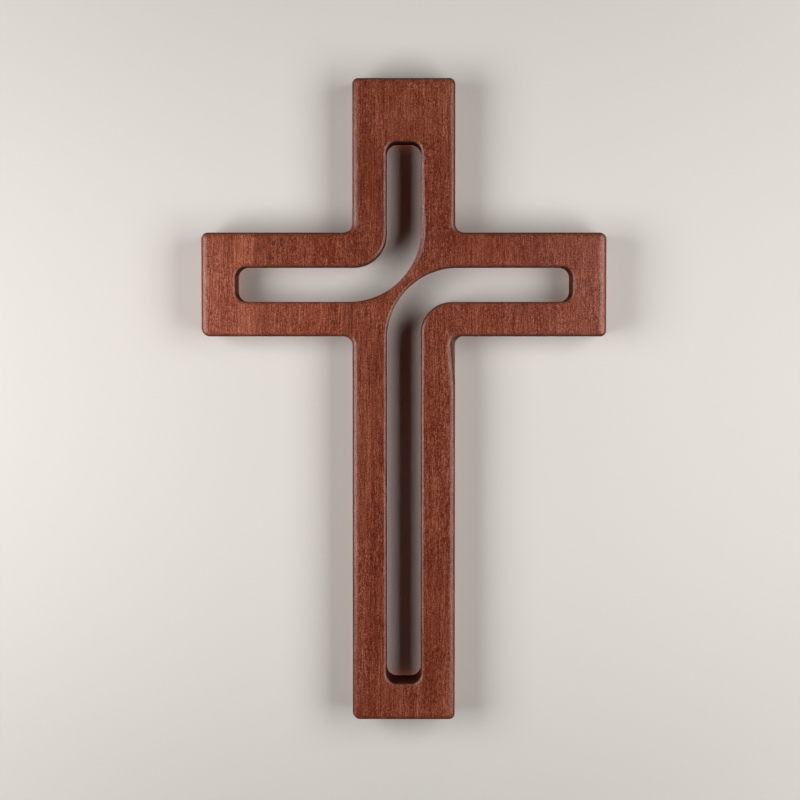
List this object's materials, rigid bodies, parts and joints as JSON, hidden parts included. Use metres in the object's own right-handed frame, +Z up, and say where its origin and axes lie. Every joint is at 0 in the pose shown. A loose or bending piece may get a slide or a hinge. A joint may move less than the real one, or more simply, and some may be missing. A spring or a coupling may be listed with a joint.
{
  "type": "wall cross",
  "caption": "Pierced wooden wall cross with two bent through slots and a slanted bridge between them, glued up from upright staves and hung by a toothed steel strip.",
  "frame": {"origin": "on the plane of the wooden back, in the middle of its width, at the root of the hanger's middle notch, where the wall nail bears", "axes": "+Z up along the post, +Y out of the back towards the wall, so the front faces -Y, and +X to the right of someone who faces the front"},
  "size_m": [0.1888, 0.0203, 0.3],
  "materials": {
    "stained_wood": "red-brown stain, satin",
    "zinc_steel": "zinc-plated, semi-bright"
  },
  "bodies": {
    "root": {"post_stave": "stained_wood", "left_upper_rail": "stained_wood", "left_lower_rail": "stained_wood", "left_end_stave": "stained_wood", "right_upper_rail": "stained_wood", "right_lower_rail": "stained_wood", "right_end_stave": "stained_wood", "sawtooth_hanger": "zinc_steel", "hanger_nail_left": "zinc_steel", "hanger_nail_right": "zinc_steel"}
  },
  "joints": []
}
